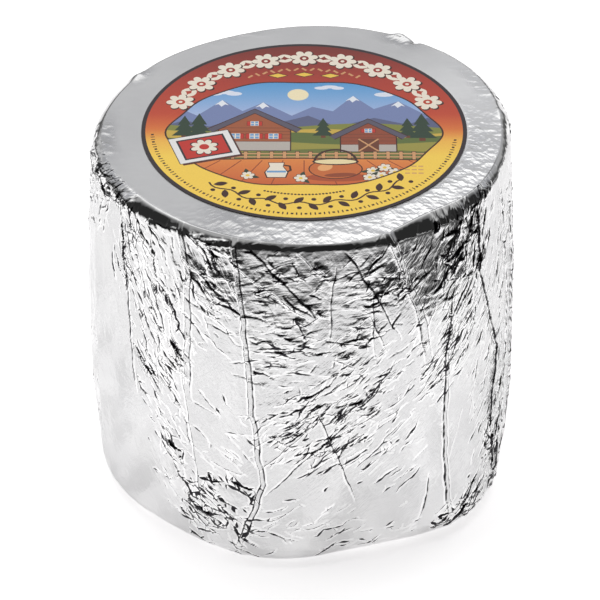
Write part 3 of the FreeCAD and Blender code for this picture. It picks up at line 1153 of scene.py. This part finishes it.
def tag_shapes():
    """A small white tag with a flower, printed askew over the picture's left."""
    x, y, turn = -24.0, -8.0, 17.0
    yield srgb(96, 48, 38), [(px + 0.7, py - 0.7) for px, py in tile(x, y, 7.4, 5.6, turn)]
    for colour, half_width, half_height in ((INK, 7.6, 5.8), (srgb(240, 238, 236), 7.4, 5.6),
                                            (INK, 5.9, 4.4), (RED, 5.4, 3.9)):
        yield colour, tile(x, y, half_width, half_height, turn)
    yield INK, blossom(x, y, 3.7, 8)
    yield CREAM, blossom(x, y, 3.3, 8)
    yield RED, disc(x, y, 1.2, 16)


def inside(outline, x, y):
    """Which of the points lie inside an outline."""
    found = np.zeros(len(x), dtype=bool)
    for (ax, ay), (bx, by) in zip(outline, outline[1:] + outline[:1]):
        if ay != by:
            found ^= ((ay > y) != (by > y)) & (x < ax + (y - ay) * (bx - ax) / (by - ay))
    return found


def print_mesh(shapes, framed):
    """Triangles and corner colours of the print. Shapes numbered in framed stay in the picture."""
    places, edges = [], []
    for _, outline in shapes:
        first, count = len(places), len(outline)
        places += [Vector(p) for p in outline]
        edges += [(first + k, first + (k + 1) % count) for k in range(count)]
    reach = int(LABEL_RADIUS / PRINT_PITCH)
    for i in range(-reach, reach + 1):
        for j in range(-reach - 5, reach + 6):
            x, y = PRINT_PITCH * (i + 0.5 * (j % 2)), PRINT_PITCH * 0.866 * j
            if hypot(x, y) < LABEL_RADIUS - 0.8:
                places.append(Vector((x, y)))
    places, _, faces, *_ = delaunay_2d_cdt(places, edges, [], 0, 1e-5)
    at = np.array([tuple(p) for p in places])
    faces = np.array([f for f in faces if len(f) == 3])
    x, y = at[faces].mean(axis=1).T
    keep = np.hypot(x, y) < LABEL_RADIUS
    used, faces = np.unique(faces[keep], return_inverse=True)
    at, faces, x, y = at[used], faces.reshape(-1, 3), x[keep], y[keep]
    picture = inside(frame_outline(0.0), x, y)
    chosen = np.zeros(len(faces), dtype=int)
    for n, (_, outline) in enumerate(shapes):
        xs, ys = zip(*outline)
        near = (x > min(xs)) & (x < max(xs)) & (y > min(ys)) & (y < max(ys))
        if n in framed:
            near &= picture
        near = np.nonzero(near)[0]
        chosen[near[inside(outline, x[near], y[near])]] = n
    colours = np.ones((len(faces), 3, 4))
    for n, (colour, _) in enumerate(shapes):
        mine = np.nonzero(chosen == n)[0]
        if callable(colour):
            colours[mine, :, :3] = [[colour(at[p, 1]) for p in faces[f]] for f in mine]
        else:
            colours[mine, :, :3] = colour
    return at, faces, colours


def make_label(material):
    """The label: its printed face and the dark edge of the paper."""
    border = [*border_shapes(), (LINE, frame_outline(0.45))]
    picture = list(picture_shapes())
    framed = range(len(border), len(border) + len(picture))
    at, faces, colours = print_mesh(border + picture + list(tag_shapes()), framed)
    from_centre = np.hypot(*at.T)
    rim = np.argsort(np.arctan2(at[:, 1], at[:, 0]))
    rim = rim[from_centre[rim] > LABEL_RADIUS - 0.01]
    wave = WAVE_HEIGHT * noise(*at.T / WAVE_LENGTH, 71) * smooth(LABEL_RADIUS - from_centre, 0, 6)
    face = np.column_stack([at, HEIGHT + LABEL_THICKNESS + wave])
    points = np.concatenate([face, np.column_stack([at[rim], np.full(len(rim), HEIGHT)])])
    below = len(at) + np.arange(len(rim))
    wall = np.column_stack([below, np.roll(below, -1), np.roll(rim, -1), rim])
    uv = points[:, :2] / (2 * LABEL_RADIUS) + 0.5
    piece = add_mesh("label_print", points, faces.tolist() + wall.tolist(), uv, True)
    colours = np.concatenate([colours.ravel(), np.tile([*INK, 1.0], wall.size)])
    layer = piece.data.color_attributes.new("print", "FLOAT_COLOR", "CORNER")
    fill(layer.data, "color", colours)
    piece.data.materials.append(material)
    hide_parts("label")
    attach(piece, "root")


# ---- Studio, in metres but for the camera's sizes ----
CAMERA_ELEVATION = 35.1
CAMERA_DISTANCE = 930.0
CAMERA_LENS = 223.9  # on the default 36 mm sensor
CAMERA_AIM = (-1.0, -1.6, 44.7)
FLOOR_HALF = 3.0
FLOOR_LEVEL = -0.0002
WHITE = (1.0, 1.0, 1.0)


def make_camera():
    camera = add_object("camera", bpy.data.cameras.new("camera"))
    camera.data.lens = CAMERA_LENS
    camera.data.clip_start = 0.01
    turn = radians(CAMERA_ELEVATION)
    place = Vector((0, -cos(turn), sin(turn))) * CAMERA_DISTANCE
    place.z += HEIGHT / 2
    camera.location = place * MM
    camera.rotation_euler = (Vector(CAMERA_AIM) - place).to_track_quat("-Z", "Y").to_euler()
    bpy.context.scene.camera = camera


def make_world():
    """Soft studio surroundings: dark in front and at the sides, pale behind, and white to the camera."""
    world = bpy.data.worlds.new("studio")
    bpy.context.scene.world = world
    nodes = Nodes(world)
    x, y, z = nodes.parts(nodes.place("Generated"))
    squares = nodes.calc("ADD", nodes.calc("MULTIPLY", x, x), nodes.calc("MULTIPLY", y, y))
    behind = nodes.calc("DIVIDE", y, nodes.calc("MAXIMUM", nodes.calc("SQRT", squares), 0.001))
    climb = nodes.scaled(z, 0.5, 0.5)
    front = nodes.ramp(climb, [(0.0, 0.5), (0.47, 0.20), (0.51, 0.02), (0.95, 0.02), (1.0, 0.3)])
    side = nodes.ramp(climb, [(0.0, 0.9), (0.49, 0.8), (0.52, 0.03), (0.86, 0.03), (0.93, 0.5),
                              (1.0, 0.5)])
    back = nodes.ramp(climb, [(0.0, 0.9), (0.5, 0.5), (0.53, 0.10), (0.58, 0.12), (0.65, 0.49),
                              (0.79, (0.48, 0.485, 0.51)), (0.855, 0.90), (0.91, 1.25), (0.98, 1.35),
                              (1.0, 0.5)])
    share = nodes.scaled(behind, 0.5, 0.5)
    seen = nodes.mix(nodes.ramp(share, [(0.12, 1.0), (0.30, 0.0)]), side, front)
    seen = nodes.mix(nodes.ramp(share, [(0.62, 0.0), (0.85, 1.0)]), seen, back)
    nodes.feed(nodes.tree.nodes["Background"], {"Color": nodes.to_camera(WHITE, seen)})


def make_floor():
    """A plain pale floor that glows. What the foil mirrors of it is painted in patchy shade that deepens in
    front.
    """
    mesh = bpy.data.meshes.new("floor")
    corners = box(-FLOOR_HALF, -FLOOR_HALF, FLOOR_HALF, FLOOR_HALF)
    mesh.from_pydata([(x, y, 0) for x, y in corners], [], [(0, 1, 2, 3)])
    floor = add_object("floor", mesh)
    floor.location.z = FLOOR_LEVEL
    material, nodes, shader = new_material("floor")
    x, y, _ = nodes.parts(nodes.place("Object"))
    right = nodes.calc("MAXIMUM", nodes.calc("SUBTRACT", x, 0.10), 0.0)
    ahead = nodes.scaled(right, 1.3, nodes.calc("MULTIPLY", y, -1.0))
    shade = nodes.ramp(ahead, [(0.0, 0.85), (0.05, 1.0), (0.12, 0.93), (0.18, 0.83), (0.26, 0.43),
                               (0.5, 0.08)])
    mottle = nodes.ramp(nodes.noise(55.0, 2.0), [(0.38, 0.78), (0.62, 1.0)])
    shade = nodes.calc("MULTIPLY", shade, mottle)
    nodes.feed(shader, {
        "Base Color": nodes.to_camera((0.88, 0.88, 0.88), shade),
        # Painted light: the floor glows, evenly to the camera and in its painted shade for all other light.
        "Emission Color": (1.0, 0.985, 0.99),
        "Emission Strength": nodes.to_camera((0.62, 0.62, 0.62), nodes.calc("MULTIPLY", shade, 0.60)),
        "Roughness": 0.9,
        "Specular IOR Level": 0.1,
    })
    mesh.materials.append(material)


def make_lights():
    for name, place, size, power in (
        ("overhead", (0.0, 0.25, 1.25), 1.1, 7.5),
        ("left", (-0.9, -0.1, 0.75), 0.6, 2.0),
    ):
        light = bpy.data.lights.new(name, "AREA")
        light.size = size
        light.energy = power
        lamp = add_object(name, light)
        lamp.location = place
        lamp.visible_glossy = False
        lamp.rotation_euler = (-Vector(place)).to_track_quat("-Z", "Y").to_euler()


make_camera()
make_world()
make_floor()
make_lights()
bpy.context.scene.view_settings.view_transform = "Standard"
make_foil(foil_material())
make_label(paper_material())
